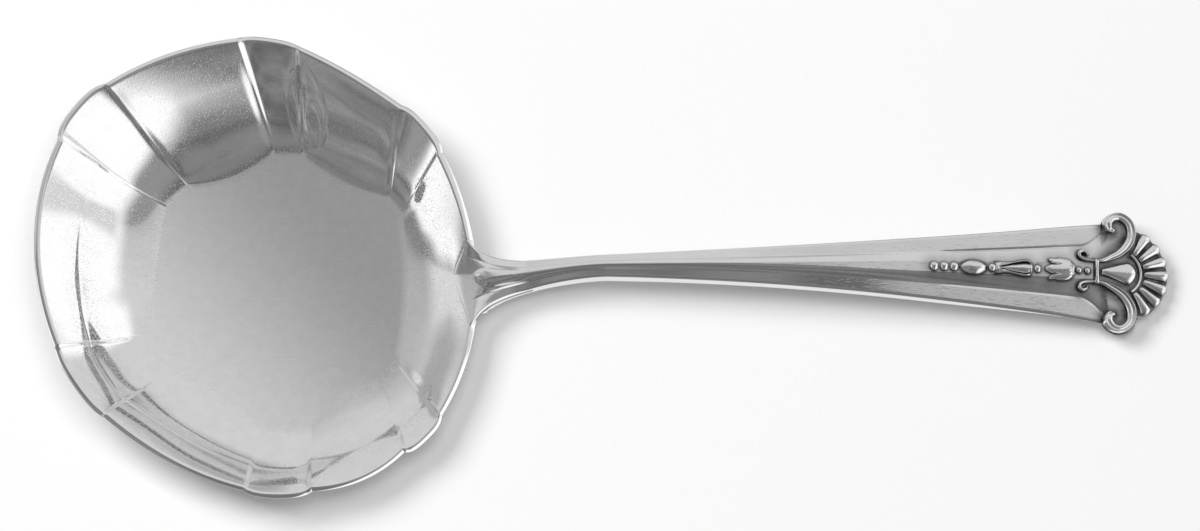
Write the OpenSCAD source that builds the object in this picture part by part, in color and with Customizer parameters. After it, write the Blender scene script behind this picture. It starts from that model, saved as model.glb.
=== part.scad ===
// Silver bonbon spoon: a fluted bowl, a struck handle soldered to its back,
// and cast ornament soldered to the handle's end. All sizes are millimetres.
// +X runs along the handle to its tip, +Z is up, and the origin is the middle
// of the flat under the bowl, where the spoon rests on the table.

/* [Bowl] */
// Mean radius of the rim's outline
rim_r = 25.9; // [23:0.05:30]
// How much longer the outline's long diagonal is than the mean radius
rim_skew = 1.15; // [0:0.05:2]
// Direction of the long diagonal, anticlockwise from the handle
skew_dir = 126; // [90:1:160]
// How far the middle of the rim lies in front of the base
rim_forward = 2.3; // [0:0.1:4]
// How far the middle of the rim lies to the right of the handle's line
rim_aside = 0.75; // [0:0.05:1.5]
// Mean height of the rim above the table
rim_z = 7.4; // [6.5:0.1:9]
// How far the high side of the tilted rim stands above its mean height
rim_tilt = 2.6; // [0:0.1:3]
// Direction of the rim's high side, anticlockwise from the handle
tilt_dir = 155; // [120:1:180]
// Radius of the smooth floor to its corners at the creases
floor_r = 16; // [13:0.1:17]
// How far the wide lobes draw the floor's edge in between the creases
floor_draw = 1.8; // [0:0.1:2.5]
// How far the middle of the floor's edge lies to the right of the handle's line
floor_aside = 1.6; // [0:0.1:2.2]
// How far the floor's edge stands above its middle
floor_dish = 0.6; // [0.4:0.05:1.2]
// Radius of the flat under the bowl
base_r = 8; // [5:0.1:10]
// Thickness of the floor and of the foot of the wall
floor_t = 0.8; // [0.6:0.05:1.2]
// Thickness of the rim at the front
rim_t = 0.5; // [0.4:0.05:1]
// Extra thickness of the rim where the handle joins it
rim_neck_t = 0.4; // [0:0.05:0.8]
// How far the narrow flutes stand out at the rim
flute_bulge = 0.5; // [0.2:0.05:1]
// How far the wide lobes are drawn in at the rim
lobe_draw = 0.35; // [0:0.05:0.6]
// How far the lobe at the handle is drawn in at the rim
neck_draw = 0.8; // [0:0.05:1]

/* [Handle] */
// Distance from the base to the thinnest part of the neck
neck_x = 36.5; // [33:0.1:42]
// Distance from the base to the bend where the end turns down
fold_x = 89.3; // [86:0.1:95]
// Clear panel in front of the first bead
panel_lead = 1.2; // [0.6:0.1:3]
// Width of the thinnest part of the neck
neck_w = 2.6; // [2:0.1:4]
// Width of the handle at its flared end
end_w = 11.35; // [10.5:0.05:12]
// Share of the flare that is straight, the rest being bowed
flare_straight = 0.4; // [0:0.01:1]
// Thickness of the neck
neck_t = 3.2; // [2:0.1:4]
// Thickness of the handle at the panel
panel_t = 2.9; // [2.2:0.1:3.4]
// Thickness of the handle at its tip
tip_t = 1.7; // [1.2:0.1:2.5]
// Height of the raised middle above the bevels beside it
crown_h = 0.45; // [0.2:0.05:0.8]
// How far the outer edges rise above the foot of the bevels beside the panel
bevel_rise = 0.12; // [0:0.02:0.3]
// How far the outer edges fall below the foot of the bevels at the neck
bevel_fall = 0.25; // [0:0.05:0.4]
// Slope of the panel along the handle, in degrees
panel_slope = 4.5; // [3:0.5:6]
// Slope of the turned-down end, in degrees
end_slope = 13.5; // [10:0.5:18]
// Width of the heel where it meets the bowl
heel_w = 7.8; // [5:0.1:10]
// Height of the heel down the back of the bowl
heel_h = 3.3; // [3:0.1:3.8]
// How far the heel's shoulders lie below its crest
heel_drop = 1.6; // [1:0.1:2]
// How far the heel is set to the right of the handle's line
heel_aside = 1.75; // [0:0.05:2]
// Gap for the solder between the heel and the bowl
solder_gap = 0.05; // [0.02:0.01:0.1]

/* [Ornament] */
// Diameter of the beads at the start of the row
bead_d = 1.0; // [0.8:0.02:1.04]
// Distance between the beads at the start of the row
bead_pitch = 1.12; // [1.06:0.02:1.4]
// Length of the oval bead
oval_l = 3.2; // [2.5:0.05:3.6]
// Width of the oval bead
oval_w = 1.75; // [1.2:0.05:2.2]
// Length of the husk
husk_l = 4.3; // [3:0.05:5]
// Width of the husk at its round end
husk_w = 1.9; // [1.6:0.05:2.3]
// Length of the bellflower
flower_l = 3.4; // [2.6:0.05:3.8]
// Half the angle that the bellflower's petals open to, in degrees
flower_open = 41; // [30:1:42]
// Clear space in front of the bellflower
flower_gap = 0.4; // [0.1:0.05:0.8]
// Height of the ornament above the panel
relief_h = 0.6; // [0.4:0.05:0.9]
// Clear space between one ornament and the next
relief_gap = 0.08; // [0.04:0.01:0.2]
// Radius of the palmette to the ends of its ribs
palmette_r = 5.45; // [4.8:0.05:5.8]
// Radius of the palmette to the feet of its ribs
palmette_foot_r = 3.0; // [2.9:0.05:3.4]
// Number of ribs in the palmette
palmette_ribs = 7; // [5:1:9]
// Half the angle that the palmette opens to, in degrees
palmette_open = 66; // [58:1:73]
// Radius of the crescent round the boss
arch_r = 2.55; // [2.5:0.05:2.7]
// Length of the boss
boss_l = 4.05; // [3:0.05:4.1]
// Half the angle that the boss opens to, in degrees
boss_open = 17; // [12:1:18]
// Width of the collar across the two scrolls
collar_w = 3.2; // [3.1:0.05:4]
// Length of the collar along the handle
collar_l = 0.6; // [0.4:0.05:0.75]

/* [Hidden] */
silver = "#d4d4d2";

// Creases of the bowl: angle at the rim, angle at the floor, and the share by which the
// lobe or flute after it is drawn in or stands out, all from the handle anticlockwise
creases = [[-38.9, -34, 1], [33.9, 33, 1], [50.4, 41, 1.2], [80.5, 82, 0.7], [96.4, 94, 1.2],
           [130.5, 132, 1.5], [149, 145, 1], [203.9, 200, 0.8], [226.8, 218, 1], [266.8, 261, 1],
           [283.6, 283, -1.3], [308.1, 316, 1.2], [321.1, 326, 1]];
lobe_step = 5;
floor_rings = 3;
wall_rows = 10;

function lerp(a, b, t) = a + (b - a) * t;
function clamp01(t) = max(0, min(1, t));
function smooth(t) = let (c = clamp01(t)) c * c * (3 - 2 * c);
function flat3(rows) = [for (row = rows) for (item = row) item];

// Bowl: the middle of the rim and of the floor's edge, and the slope and height where the floor ends
rim_mid = [-rim_forward, -rim_aside];
floor_mid = [0, -floor_aside];
floor_slope = atan(2 * floor_dish / floor_r);
base_lift = floor_dish * pow(base_r / floor_r, 2);
floor_z = floor_t - base_lift;

function rim_thickness(a) = rim_t + rim_neck_t * pow((1 + cos(a)) / 2, 3);
function rim_height(a) = rim_z + rim_tilt * cos(a - tilt_dir);
function rim_radius(a) = rim_r + rim_skew * cos(2 * (a - skew_dir));

// Narrow flutes and wide lobes take turns, and the first lobe is the one at the handle
function is_flute(i) = i % 2 == 1;
function flute_form(u) = 1 - pow(2 * u - 1, 4);
function lobe_form(u) = 1 - pow(2 * u - 1, 2);
function draw_in(i) = i == 0 ? neck_draw : lobe_draw;
function bulge_shape(i, u) =
    creases[i][2] * (is_flute(i) ? flute_bulge * flute_form(u) : -draw_in(i) * lobe_form(u));
function foot_radius(i, u) = is_flute(i) ? floor_r : floor_r - floor_draw * lobe_form(u);

// One direction round the bowl: rim angle, floor angle, stand-out at the rim, floor radius
function spoke(i, u) =
    let (mix = lerp(creases[i], creases[i + 1], u))
    [mix[0], mix[1], bulge_shape(i, u), foot_radius(i, u)];
function lobe_steps(i) = ceil((creases[i + 1][0] - creases[i][0]) / lobe_step);
spokes = [for (i = [0 : len(creases) - 2]) for (k = [0 : lobe_steps(i) - 1]) spoke(i, k / lobe_steps(i))];

// Foot and top of the inner wall, the height between them, and the slope at the rim that makes the
// wall's section an arc
function out_dir(a) = [cos(a), sin(a)];
function wall_foot(s) = floor_mid + s[3] * out_dir(s[1]);
function wall_top(s) = rim_mid + (rim_radius(s[0]) - rim_thickness(s[0]) + s[2]) * out_dir(s[0]);
function wall_height(s) = rim_height(s[0]) - floor_z - floor_dish;
function end_slope_of(s) = 2 * atan(wall_height(s) / norm(wall_top(s) - wall_foot(s))) - floor_slope;

// Wall of the bowl, with f running from the floor's edge at 0 to the rim at 1
function run_at(slope, last) = (sin(slope) - sin(floor_slope)) / (sin(last) - sin(floor_slope));
function rise_at(slope, last) = (cos(floor_slope) - cos(slope)) / (cos(floor_slope) - cos(last));
function wall_inner(s, f) =
    let (last = end_slope_of(s), slope = lerp(floor_slope, last, f),
         xy = lerp(wall_foot(s), wall_top(s), run_at(slope, last)))
    [xy.x, xy.y, floor_z + floor_dish + wall_height(s) * rise_at(slope, last)];
function wall_outer(s, f) =
    let (p = wall_inner(s, f), t = lerp(floor_t, rim_thickness(s[0]), f),
         slope = lerp(floor_slope, end_slope_of(s), f), out = t * sin(slope) * out_dir(s[0]))
    [p.x + out.x, p.y + out.y, p.z - t * cos(slope)];
function floor_inner(s, g) = let (xy = g * wall_foot(s)) [xy.x, xy.y, floor_z + floor_dish * g * g];
function floor_outer(s, g) = floor_inner(s, g) - [0, 0, floor_t];

// A closed skin from rings of points, from a middle point round to a last middle point
function ring_faces(rows, cols) =
    [for (r = [0 : rows - 2]) for (c = [0 : cols - 1])
        let (d = (c + 1) % cols, p = 1 + r * cols + c, q = 1 + r * cols + d, w = p + cols, v = q + cols)
        each [[p, w, q], [q, w, v]]];
function cap_faces(rows, cols) =
    let (last = rows * cols + 1, base = 1 + (rows - 1) * cols)
    [for (c = [0 : cols - 1]) let (d = (c + 1) % cols)
        each [[0, 1 + c, 1 + d], [last, base + d, base + c]]];

module bowl() {
    rings = concat(
        [for (g = [1 : floor_rings - 1]) [for (s = spokes) floor_inner(s, g / floor_rings)]],
        [for (r = [0 : wall_rows]) [for (s = spokes) wall_inner(s, r / wall_rows)]],
        [for (r = [wall_rows : -1 : 0]) [for (s = spokes) wall_outer(s, r / wall_rows)]],
        [for (g = [floor_rings - 1 : -1 : 1]) [for (s = spokes) floor_outer(s, g / floor_rings)]]);
    points = concat([[0, 0, floor_z]], flat3(rings), [[0, 0, floor_z - floor_t]]);
    faces = concat(ring_faces(len(rings), len(spokes)), cap_faces(len(rings), len(spokes)));
    color(silver)
        difference() {
            polyhedron(points, faces, convexity = 6);
            translate([-rim_r, -rim_r, -rim_r])
                cube([2 * rim_r, 2 * rim_r, rim_r]);
        }
}

// Place on the back of the bowl's outer wall at a given side step and height
search_steps = 18;
function find_f(s, z, lo = 0, hi = 1, n = search_steps) =
    n == 0 ? (lo + hi) / 2 :
    let (m = (lo + hi) / 2)
    wall_outer(s, m).z < z ? find_f(s, z, m, hi, n - 1) : find_f(s, z, lo, m, n - 1);
function find_u(y, z, lo = 0, hi = 1, n = search_steps) =
    n == 0 ? (lo + hi) / 2 :
    let (m = (lo + hi) / 2, s = spoke(0, m))
    wall_outer(s, find_f(s, z)).y < y ? find_u(y, z, m, hi, n - 1) : find_u(y, z, lo, m, n - 1);
function back_x(y, z) = let (s = spoke(0, find_u(y, z))) wall_outer(s, find_f(s, z)).x;

// Row of ornament along the panel, set from the bellflower at the fold back to the first bead
late_bead_share = 0.85;
mid_bead_share = 0.9;
small_bead_share = 0.7;
late_bead_d = late_bead_share * bead_d;
mid_bead_d = mid_bead_share * bead_d;
small_bead_d = small_bead_share * bead_d;
fork_reach = 0.3 * bead_d;
late_bead_x = fold_x - flower_l - flower_gap - late_bead_d / 2;
husk_x = late_bead_x - late_bead_d / 2 - relief_gap - husk_l;
mid_bead_x = husk_x - fork_reach;
oval_x = mid_bead_x - mid_bead_d / 2 - relief_gap - oval_l / 2;
first_bead_x = oval_x - oval_l / 2 - relief_gap - bead_d / 2 - 2 * bead_pitch;
panel_x = first_bead_x - panel_lead;

// Handle: the line of its crest, bowed up from the rim and then down to the tip
rim_edge_z = wall_outer(spoke(0, 0.5), 1).z;
heel_x = back_x(-heel_aside, rim_edge_z) + solder_gap;
palmette_u = 5.5;
rib_overhang = 0.15;
plate_r = palmette_r - rib_overhang;
palmette_x = fold_x + palmette_u * cos(end_slope);
tip_x = palmette_x + plate_r * cos(end_slope);
fold_z = tip_t + (tip_x - fold_x) * tan(end_slope);
panel_z = fold_z + (fold_x - panel_x) * tan(panel_slope);
stem_l = panel_x - neck_x;
bow_l = panel_x - heel_x;
heel_climb = 2 * (panel_z - rim_edge_z) / bow_l + tan(panel_slope);
function crest_z(x) =
    x < panel_x ? let (d = x - heel_x)
        rim_edge_z + heel_climb * d - (heel_climb + tan(panel_slope)) * d * d / (2 * bow_l) :
    x < fold_x ? panel_z - (x - panel_x) * tan(panel_slope) :
    fold_z - (x - fold_x) * tan(end_slope);

// The heel swells from the neck to the bowl: first gently, then in a short flare at the wall
heel_swell = 2.4;
heel_flare = 10;
flare_part = 0.45;
drop_power = 1.9;
depth_power = 3.5;
aside_power = 1.45;
function heel_share(x) = clamp01((neck_x - x) / (neck_x - heel_x));
function width_part(x) = lerp(pow(heel_share(x), heel_swell), pow(heel_share(x), heel_flare), flare_part);
function drop_part(x) = pow(heel_share(x), drop_power);
function depth_part(x) = pow(heel_share(x), depth_power);
function middle_y(x) = -heel_aside * pow(heel_share(x), aside_power);

// Scroll: the arm runs from the collar to a clear line beside the palmette's outermost rib
collar_u = 2.5;
volute_y = 4.9;
volute_r = 2.1;
scroll_clear = 1.02;
scroll_run = palmette_u + volute_y / tan(palmette_open) - scroll_clear - collar_u;
function scroll_u(share) = collar_u + share * scroll_run;

// Half the width of the handle: heel, flare, volute lobes and palmette
volute_mid_share = 0.613;
volute_half_share = 0.517;
volute_u = scroll_u(volute_mid_share);
volute_half_l = volute_half_share * scroll_run;
volute_x = fold_x + volute_u * cos(end_slope);
volute_l = volute_half_l * cos(end_slope);
volute_start = volute_x - volute_l;
volute_end = volute_x + volute_l;
least_tip_share = 0.12;
function flare_half(x) =
    let (t = clamp01((x - neck_x) / (volute_start - neck_x)))
    lerp(neck_w, end_w, flare_straight * t + (1 - flare_straight) * t * t) / 2;
function bump(x, mid, half) = sqrt(max(0, 1 - pow((x - mid) / half, 2)));
function volute_half(x) =
    abs(x - volute_x) < volute_l ? volute_y + volute_r * bump(x, volute_x, volute_l) : 0;
function plate_half(x) = plate_r * max(least_tip_share, bump(x, palmette_x, plate_r * cos(end_slope)));
function half_w(x) =
    x < neck_x ? lerp(neck_w, heel_w, width_part(x)) / 2 :
    x < volute_x ? max(flare_half(x), volute_half(x)) :
    max(volute_half(x), plate_half(x));

// Share of the half width taken by the flat seat and by the raised middle
seat_start = bead_d / 2 + relief_gap;
seat_end = 0.55 * flower_l;
seat_blend = 2;
seat_room = 0.6;
seat_limit = 0.9;
neck_crown = 0.36;
fold_crown = 0.5;
heel_crown = 0.8;
end_crown = 0.9;
crown_turn = 3.8;
function seat_half(x) =
    lerp(seat_start / 2, lerp(seat_start, seat_end, clamp01((x - panel_x) / (fold_x - panel_x))),
         smooth((x - panel_x) / panel_lead + 1))
    + seat_room * smooth((x - fold_x) / seat_blend + 1);
function crown_share(x) =
    let (along = lerp(neck_crown, fold_crown, clamp01((x - neck_x) / (fold_x - neck_x))))
    x < neck_x ? lerp(along, heel_crown, drop_part(x)) :
    lerp(along, end_crown, pow(clamp01((x - fold_x) / crown_turn), 2));
function seat_share(x) = min(seat_half(x) / half_w(x), seat_limit * crown_share(x));

// The step beside the raised middle runs out between the fold and the volutes
fade_l = (volute_start - fold_x) / 2;
function crown_fade(x) = 1 - smooth((x - fold_x - fade_l) / fade_l);
function crown_drop(x) = lerp(crown_h * crown_fade(x), heel_drop, drop_part(x));
function thickness(x) =
    let (stem_t = lerp(neck_t, panel_t, clamp01((x - neck_x) / stem_l)))
    x < panel_x ? lerp(stem_t, heel_h, depth_part(x)) :
    lerp(panel_t, tip_t, smooth((x - panel_x) / (fold_x - panel_x)));

// Top and underside of the handle at a side step given as a share of the half width
crown_power = 1.6;
edge_round = 0.1;
function top_shape(x, share) =
    let (s = seat_share(x), c = crown_share(x), w = abs(share))
    w <= s ? 0 : w <= c ? pow((w - s) / (c - s), crown_power) : 1;
function bevel_lift(x) = lerp(-bevel_fall, bevel_rise, smooth((x - neck_x) / stem_l));
function bevel_up(x, share) =
    let (c = crown_share(x))
    bevel_lift(x) * crown_fade(x) * (1 - drop_part(x)) * max(0, abs(share) - c) / (1 - c);
function top_z(x, share) = crest_z(x) - crown_drop(x) * top_shape(x, share) + bevel_up(x, share);
function under_z(x, share) = crest_z(x) - thickness(x) * (1 - edge_round * pow(abs(share), 3));

// Columns across the handle and rows through its thickness
function columns(x) =
    let (s = seat_share(x), c = crown_share(x), m = (s + c) / 2, e = (1 + c) / 2)
    [-1, -e, -c, -m, -s, 0, s, m, c, e, 1];
n_cols = 11;
n_rows = 6;
function section_point(x, j, k) =
    let (share = columns(x)[j], z = lerp(under_z(x, share), top_z(x, share), k / (n_rows - 1)))
    [x, middle_y(x) + share * half_w(x), z];
function heel_point(j, k) =
    let (p = section_point(heel_x, j, k)) [back_x(p.y, p.z) + solder_gap, p.y, p.z];
ring_index = concat(
    [for (j = [0 : n_cols - 1]) [j, n_rows - 1]],
    [for (k = [n_rows - 2 : -1 : 1]) [n_cols - 1, k]],
    [for (j = [n_cols - 1 : -1 : 0]) [j, 0]],
    [for (k = [1 : n_rows - 2]) [0, k]]);
heel_step = 0.8;
round_steps = 8;
function steps(from, to, n) = [for (i = [1 : n]) lerp(from, to, i / n)];
function round_in(from, to) = [for (i = [1 : round_steps]) lerp(to, from, cos(90 * i / round_steps))];
function round_out(from, to) = [for (i = [1 : round_steps]) lerp(from, to, sin(90 * i / round_steps))];
stations = concat(
    steps(heel_x + heel_step, neck_x, 11), steps(neck_x, panel_x - panel_lead, 9),
    steps(panel_x - panel_lead, panel_x, 3), steps(panel_x, fold_x - seat_blend, 7),
    steps(fold_x - seat_blend, fold_x, 3), steps(fold_x, volute_start, 7),
    round_in(volute_start, volute_x), round_out(volute_x, volute_end), round_out(volute_end, tip_x));

// Point numbers: the heel's grid comes first, then one ring for each station
n_ring = len(ring_index);
function ring_id(r, c) = r == 0 ? ring_index[c][0] * n_rows + ring_index[c][1]
                                : n_cols * n_rows + (r - 1) * n_ring + c;

module handle() {
    heel = [for (j = [0 : n_cols - 1]) for (k = [0 : n_rows - 1]) heel_point(j, k)];
    rings = [for (x = stations) for (q = ring_index) section_point(x, q[0], q[1])];
    last = len(stations);
    side_faces = [for (r = [0 : last - 1]) for (c = [0 : n_ring - 1])
        let (d = (c + 1) % n_ring, p = ring_id(r, c), q = ring_id(r, d),
             w = ring_id(r + 1, c), v = ring_id(r + 1, d))
        each [[p, q, w], [q, v, w]]];
    heel_faces = [for (j = [0 : n_cols - 2]) for (k = [0 : n_rows - 2])
        let (p = j * n_rows + k, q = p + n_rows)
        each [[p, q, p + 1], [p + 1, q, q + 1]]];
    tip_mid = [tip_x, 0, crest_z(tip_x) - thickness(tip_x) / 2];
    tip_faces = [for (c = [0 : n_ring - 1])
        [ring_id(last, c), ring_id(last, (c + 1) % n_ring), ring_id(last, n_ring)]];
    faces = concat(side_faces, heel_faces, tip_faces);
    color(silver)
        polyhedron(concat(heel, rings, [tip_mid]), faces, convexity = 6);
}

// Seats of the ornament: along the panel, and on the turned-down end past the fold
module on_panel(x) {
    translate([x, 0, crest_z(x)])
        rotate([0, panel_slope, 0])
            children();
}
module on_end() {
    translate([fold_x, 0, fold_z])
        rotate([0, end_slope, 0])
            children();
}

module above_seat() {
    size = 4 * palmette_r;
    intersection() {
        children();
        translate([-size / 2, -size / 2, 0])
            cube(size);
    }
}
module bead(d) {
    above_seat()
        translate([0, 0, d / 8])
            sphere(d = d, $fn = 32);
}

small_beads = [0.45, 1.45];

module round_beads() {
    color(silver) {
        for (i = [0 : 2])
            on_panel(first_bead_x + i * bead_pitch) bead(bead_d);
        on_panel(mid_bead_x) bead(mid_bead_d);
        on_panel(late_bead_x) bead(late_bead_d);
        on_end()
            for (u = small_beads)
                translate([u, 0, 0]) bead(small_bead_d);
    }
}

module oval_bead() {
    sag = oval_w / 2 - oval_w / 6;
    arc_r = (pow(oval_l / 2, 2) + sag * sag) / (2 * sag);
    color(silver)
        on_panel(oval_x)
            above_seat()
                translate([-oval_l / 2, 0, relief_h - oval_w / 2])
                    rotate([0, 90, 0])
                        rotate_extrude($fn = 48)
                            intersection() {
                                translate([oval_w / 2 - arc_r, oval_l / 2])
                                    circle(r = arc_r, $fn = 96);
                                square([oval_w, oval_l]);
                            }
}

// Half-round band along a path whose points hold place, half width and height
band_sides = 8;
function path_dir(path, i) =
    let (a = path[max(0, i - 1)], b = path[min(len(path) - 1, i + 1)], d = [b[0] - a[0], b[1] - a[1]])
    d / norm(d);
function band_ring(path, i) =
    let (p = path[i], d = path_dir(path, i))
    [for (k = [0 : band_sides]) let (a = 180 * k / band_sides)
        [p[0] - d.y * p[2] * cos(a), p[1] + d.x * p[2] * cos(a), p[3] * sin(a)]];
module band(path) {
    n = band_sides + 1;
    last = (len(path) - 1) * n;
    points = flat3([for (i = [0 : len(path) - 1]) band_ring(path, i)]);
    sides = [for (i = [0 : len(path) - 2]) for (k = [0 : n - 1])
        let (m = (k + 1) % n, p = i * n + k, q = i * n + m)
        each [[p, q, p + n], [q, q + n, p + n]]];
    ends = [[for (k = [n - 1 : -1 : 0]) k], [for (k = [0 : n - 1]) last + k]];
    polyhedron(points, concat(sides, ends), convexity = 6);
}

// Smooth path through a few hand-set points
function curve_at(p, i, t) =
    let (a = p[max(0, i - 1)], b = p[i], c = p[i + 1], d = p[min(len(p) - 1, i + 2)])
    (2 * b + (c - a) * t + (2 * a - 5 * b + 4 * c - d) * t * t + (3 * b - a - 3 * c + d) * t * t * t) / 2;
function curve(p, n) = concat(
    [for (i = [0 : len(p) - 2]) for (k = [0 : n - 1]) curve_at(p, i, k / n)], [p[len(p) - 1]]);

// Husk: from its foot, forked round the bead, to its round end, with a channel along its top
husk_points = [[0, 0, 0.66, 0.7], [0.1, 0, 0.7, 0.85], [0.28, 0, 0.64, 0.9], [0.5, 0, 0.78, 0.95],
               [0.75, 0, 1, 1], [0.9, 0, 0.9, 0.9], [0.98, 0, 0.5, 0.55], [1, 0, 0.22, 0.3]];
channel_start = 0.24;
channel_l = 0.58;
channel_w = 0.42;
module husk_drop() {
    path = [for (p = curve(husk_points, 3)) [p[0] * husk_l, 0, p[2] * husk_w / 2, p[3] * relief_h]];
    color(silver)
        on_panel(husk_x)
            difference() {
                band(path);
                translate([-fork_reach, 0, -relief_h])
                    cylinder(d = mid_bead_d + 2 * relief_gap, h = 3 * relief_h, $fn = 32);
                translate([channel_start * husk_l, 0, relief_h])
                    rotate([0, 90, 0])
                        cylinder(d = channel_w * husk_w, h = channel_l * husk_l, $fn = 24);
            }
}

// A fan of ribs or petals: rounded across each rib, with its foot at foot_r and its end at end_r
rib_steps = 8;
fan_rows = 6;
groove_depth = 0.96;
function rib_place(i) = abs(2 * ((i % rib_steps) / rib_steps) - 1);
function rib_wave(i) = sqrt(1 - groove_depth * pow(rib_place(i), 2));
function rib_reach(i, tip) = 1 - tip * pow(rib_place(i), 1.5);
function fan_rise(t) = sqrt(max(0, 1 - pow(abs(2 * t - 1), 4)));
module fan(ribs, open, foot_r, end_r, tip, least, spread = 1) {
    n = ribs * rib_steps + 1;
    function place(i, j, z) =
        let (a = lerp(-open, open, i / (n - 1)) * lerp(spread, 1, j / fan_rows),
             r = lerp(foot_r, end_r * rib_reach(i, tip), j / fan_rows))
        [r * cos(a), r * sin(a), z];
    function rise(i, j) = relief_h * max(least, rib_wave(i) * lerp(least, 1, fan_rise(j / fan_rows)));
    points = concat(
        [for (j = [0 : fan_rows]) for (i = [0 : n - 1]) place(i, j, rise(i, j))],
        [for (j = [0 : fan_rows]) for (i = [0 : n - 1]) place(i, j, 0)]);
    m = n * (fan_rows + 1);
    skin = [for (j = [0 : fan_rows - 1]) for (i = [0 : n - 2])
        let (p = j * n + i, q = p + 1, w = p + n, v = q + n)
        each [[p, q, w], [q, v, w], [m + p, m + w, m + q], [m + q, m + w, m + v]]];
    ends = [for (i = [0 : n - 2])
        let (p = i, q = i + 1, w = fan_rows * n + i, v = w + 1)
        each [[p, m + p, q], [q, m + p, m + q], [w, v, m + w], [v, m + v, m + w]]];
    sides = [for (j = [0 : fan_rows - 1])
        let (p = j * n, w = p + n, q = p + n - 1, v = q + n)
        each [[p, w, m + p], [w, m + w, m + p], [q, m + q, v], [v, m + q, m + v]]];
    polyhedron(points, concat(skin, ends, sides), convexity = 8);
}

module bellflower() {
    color(silver)
        on_panel(fold_x)
            rotate(180)
                fan(3, flower_open, flower_l / 8, flower_l, tip = 0.27, least = 0.3, spread = 1.4);
}

module palmette() {
    color(silver)
        on_end()
            translate([palmette_u, 0, 0])
                fan(palmette_ribs, palmette_open, palmette_foot_r, palmette_r, tip = 0.06, least = 0.25);
}

// Boss and crescent share the palmette's middle line
boss_u = 3.1;
apex_share = 0.28;
boss_apex_u = boss_u - apex_share * boss_l;
module boss() {
    foot_r = boss_u - boss_apex_u;
    color(silver)
        on_end()
            translate([boss_apex_u, 0, 0])
                fan(1, boss_open, foot_r, foot_r + boss_l, tip = 0.12, least = 0.2);
}

arch_u = 5.1;
arch_half_w = 0.2;
arch_h = 0.75 * relief_h;
arch_open = 56;
arch_steps = 20;
module boss_arch() {
    path = [for (i = [0 : arch_steps]) let (a = lerp(-arch_open, arch_open, i / arch_steps))
        [arch_u + arch_r * cos(a), arch_r * sin(a), arch_half_w, arch_h]];
    color(silver)
        on_end()
            band(path);
}

// Points of the scroll's inner curl and of the arm with its volute: place along the end (past the
// fold, or as a share of the arm's run), side step, half width and height
scroll_tie_y = 1.2;
curl_points = [[1.43, 1.80, 0.10, 0.30], [1.23, 2.09, 0.15, 0.38], [0.82, 2.22, 0.20, 0.42],
               [0.48, 1.99, 0.22, 0.42], [0.58, 1.58, 0.22, 0.40], [1.02, 1.32, 0.20, 0.36],
               [1.60, 1.22, 0.18, 0.33]];
arm_points = [[0, scroll_tie_y, 0.18, 0.33], [0.192, 1.34, 0.22, 0.40], [0.505, 1.80, 0.30, 0.50],
              [0.774, 2.60, 0.36, 0.58], [0.947, 3.63, 0.42, 0.64], [1, 4.72, 0.45, 0.66],
              [0.923, 5.82, 0.42, 0.64], [0.697, 6.50, 0.38, 0.60], [0.457, 6.40, 0.42, 0.62],
              [0.298, 5.68, 0.50, 0.66], [0.346, 4.92, 0.42, 0.60], [0.5, 4.80, 0.20, 0.40]];
scroll_points = concat(curl_points, [for (p = arm_points) [scroll_u(p[0]), p[1], p[2], p[3]]]);
scroll_steps = 3;
module scroll() {
    on_end()
        band(curve(scroll_points, scroll_steps));
}
module left_scroll() {
    color(silver)
        scroll();
}
module right_scroll() {
    color(silver)
        mirror([0, 1, 0])
            scroll();
}

// Collar: a bar that bridges the two scrolls and stands on the handle beside them
tie_clear_r = 0.33;
collar_h = 0.62;
module scroll_collar() {
    color(silver)
        on_end()
            translate([collar_u - collar_l / 2, 0, 0])
                rotate([90, 0, 90])
                    linear_extrude(collar_l)
                        difference() {
                            translate([-collar_w / 2, 0])
                                square([collar_w, collar_h]);
                            for (side = [-1, 1])
                                translate([side * scroll_tie_y, 0])
                                    circle(r = tie_clear_r, $fn = 40);
                        }
}

bowl();
handle();
round_beads();
oval_bead();
husk_drop();
bellflower();
left_scroll();
right_scroll();
scroll_collar();
boss();
boss_arch();
palmette();
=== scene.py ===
import math

import bpy
import numpy as np
from mathutils import Matrix, Vector


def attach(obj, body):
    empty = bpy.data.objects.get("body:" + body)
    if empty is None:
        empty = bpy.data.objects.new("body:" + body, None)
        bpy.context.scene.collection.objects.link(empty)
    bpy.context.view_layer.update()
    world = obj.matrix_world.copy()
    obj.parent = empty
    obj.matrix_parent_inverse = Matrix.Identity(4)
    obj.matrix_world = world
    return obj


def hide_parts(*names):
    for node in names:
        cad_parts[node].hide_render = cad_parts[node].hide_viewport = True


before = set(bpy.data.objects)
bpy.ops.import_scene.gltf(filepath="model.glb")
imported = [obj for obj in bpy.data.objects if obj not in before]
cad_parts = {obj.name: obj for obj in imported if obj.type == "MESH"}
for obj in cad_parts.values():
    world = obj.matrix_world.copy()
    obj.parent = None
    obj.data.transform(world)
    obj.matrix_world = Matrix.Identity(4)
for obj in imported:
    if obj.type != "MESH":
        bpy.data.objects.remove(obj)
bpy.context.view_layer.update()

MM = 0.001


# Helpers: shapes are worked out in millimetres and degrees
def lerp(a, b, t):
    return a + (b - a) * t


def clamp01(t):
    return np.clip(t, 0.0, 1.0)


def smooth(t):
    c = clamp01(t)
    return c * c * (3 - 2 * c)


def half_round(t):
    return np.sqrt(np.maximum(0, 1 - t ** 2))


def cosd(a):
    return np.cos(np.radians(a))


def sind(a):
    return np.sin(np.radians(a))


def unit(v):
    return v / np.linalg.norm(v, axis=-1, keepdims=True)


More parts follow.
